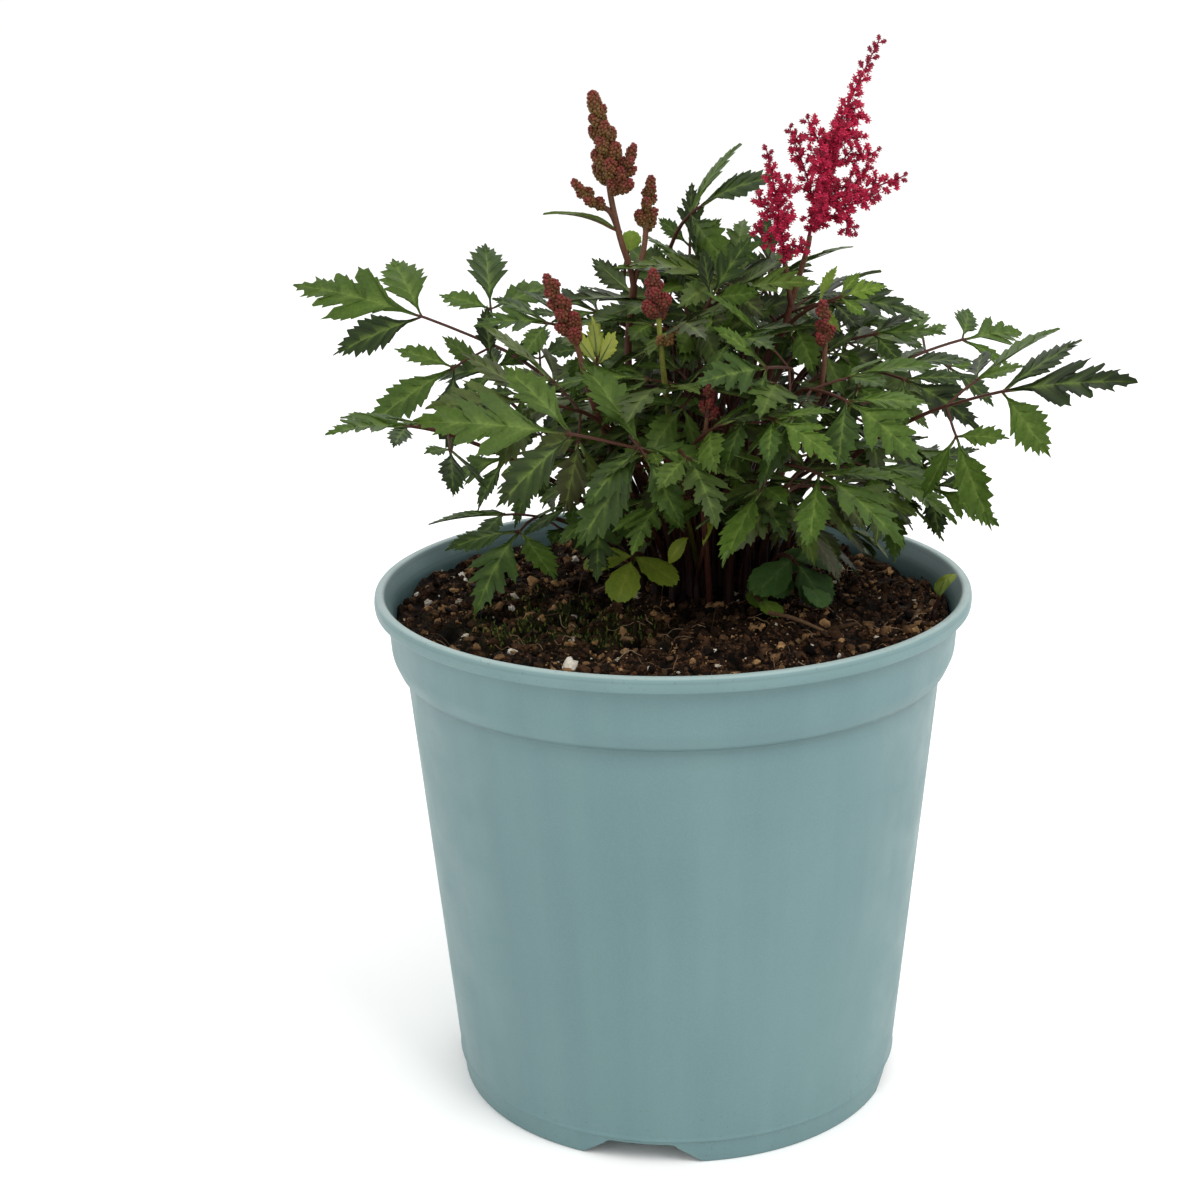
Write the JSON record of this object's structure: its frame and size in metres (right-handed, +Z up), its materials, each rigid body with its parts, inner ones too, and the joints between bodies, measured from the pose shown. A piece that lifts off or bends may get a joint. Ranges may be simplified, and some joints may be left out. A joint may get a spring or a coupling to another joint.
{
  "type": "astilbe plant",
  "caption": "Garden perennial in a round nursery pot: a spreading crown of divided, toothed leaves, stalks of closed buds and one open, feathery flower plume.",
  "frame": {"origin": "middle of the pot's foot, at the level it stands on", "axes": "+Z up along the pot's axis, -Y towards the side that the open plume and the tallest buds face, +X to the right seen from there"},
  "size_m": [0.2605, 0.19, 0.3371],
  "materials": {
    "pot": "satin, lightly soiled",
    "soil": "moist compost",
    "leaf": "satin leaf",
    "fresh": "satin leaf",
    "round": "matt leaf",
    "yellow": "matt leaf",
    "young": "matt leaf",
    "stem": "matt stem",
    "buds": "matt buds",
    "plume": "soft petals"
  },
  "bodies": {
    "root": {"pot": "pot", "compost": "soil", "stem_tall": "stem", "buds_tall": "buds", "buds_fork": "buds", "buds_tall_side": "buds", "stem_left": "stem", "buds_left": "buds", "stem_middle": "stem", "buds_middle": "buds", "stem_right": "stem", "buds_right": "buds", "stem_front": "stem", "buds_front": "buds", "stem_plume": "stem", "plume_main": "plume", "plume_side": "plume", "leaf_left_high": "leaf", "leaf_right_far": "leaf", "leaf_top": "leaf", "leaf_left_low": "leaf", "leaf_left_front": "leaf", "leaf_front_mid": "leaf", "leaf_right_high": "leaf", "leaf_right_low": "leaf", "leaf_centre": "leaf", "leaf_centre_tall": "leaf", "leaf_right_mid": "leaf", "leaf_centre_front": "leaf", "leaf_right_front": "leaf", "leaf_front_low": "leaf", "leaf_low_left": "leaf", "leaf_low_mid": "leaf", "leaf_right_dark": "leaf", "leaf_right_behind": "leaf", "leaf_left_middle": "leaf", "leaf_left_under": "leaf", "leaf_right_second": "leaf", "leaf_centre_high": "leaf", "leaf_left_inner": "leaf", "leaf_inner_left": "leaf", "leaf_inner_back": "leaf", "leaf_inner_right": "leaf", "leaf_fresh": "fresh", "leaf_left_back": "leaf", "leaf_top_mid": "leaf", "leaf_top_behind": "leaf", "leaf_right_inner": "leaf", "leaf_back_left": "leaf", "leaf_back_low": "leaf", "leaf_back_mid": "leaf", "leaf_back_right": "leaf", "leaf_young": "young", "leaf_round": "round", "leaf_yellow": "yellow"}
  },
  "joints": []
}
